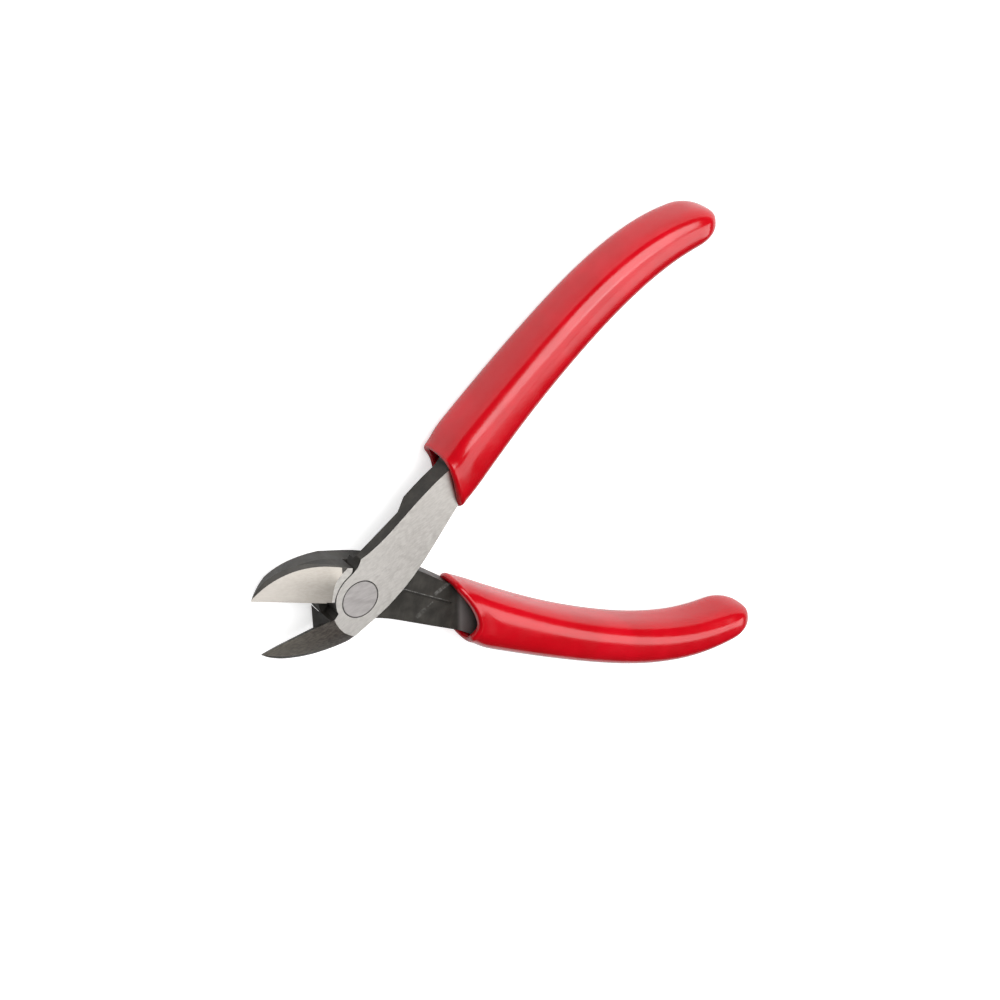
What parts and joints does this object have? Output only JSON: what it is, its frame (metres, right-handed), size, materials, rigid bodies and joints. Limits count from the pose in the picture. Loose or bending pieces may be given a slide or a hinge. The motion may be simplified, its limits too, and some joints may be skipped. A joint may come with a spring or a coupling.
{
  "type": "diagonal cutting pliers",
  "caption": "Compact diagonal cutting pliers with a riveted lap joint, bevelled side-cutting jaws and slip-on vinyl handle sleeves.",
  "frame": {"origin": "pivot axis at the ground back face of the lap joint", "axes": "+Z along the pivot axis out of the ground front face; +X midway between the open jaws, from the pivot towards their tips; +Y completes a right-handed frame, towards the front half's jaw"},
  "size_m": [0.1156, 0.1077, 0.0133],
  "materials": {
    "front_half_steel": "forged steel, black oxide with satin-ground faces",
    "back_half_steel": "forged steel, black oxide with satin-ground faces",
    "rivet_steel": "flush-ground rivet head",
    "sleeve_vinyl": "glossy red vinyl"
  },
  "bodies": {
    "back_lever": {"back_half": "back_half_steel", "pivot_rivet": "rivet_steel", "back_sleeve": "sleeve_vinyl"},
    "front_lever": {"front_half": "front_half_steel", "front_sleeve": "sleeve_vinyl"}
  },
  "joints": [
    {"name": "pivot", "type": "hinge", "parent": "back_lever", "child": "front_lever", "pos_m": [0, 0, 0.0042], "axis": [0, 0, 1], "range_deg": [-34.2, 3]}
  ]
}
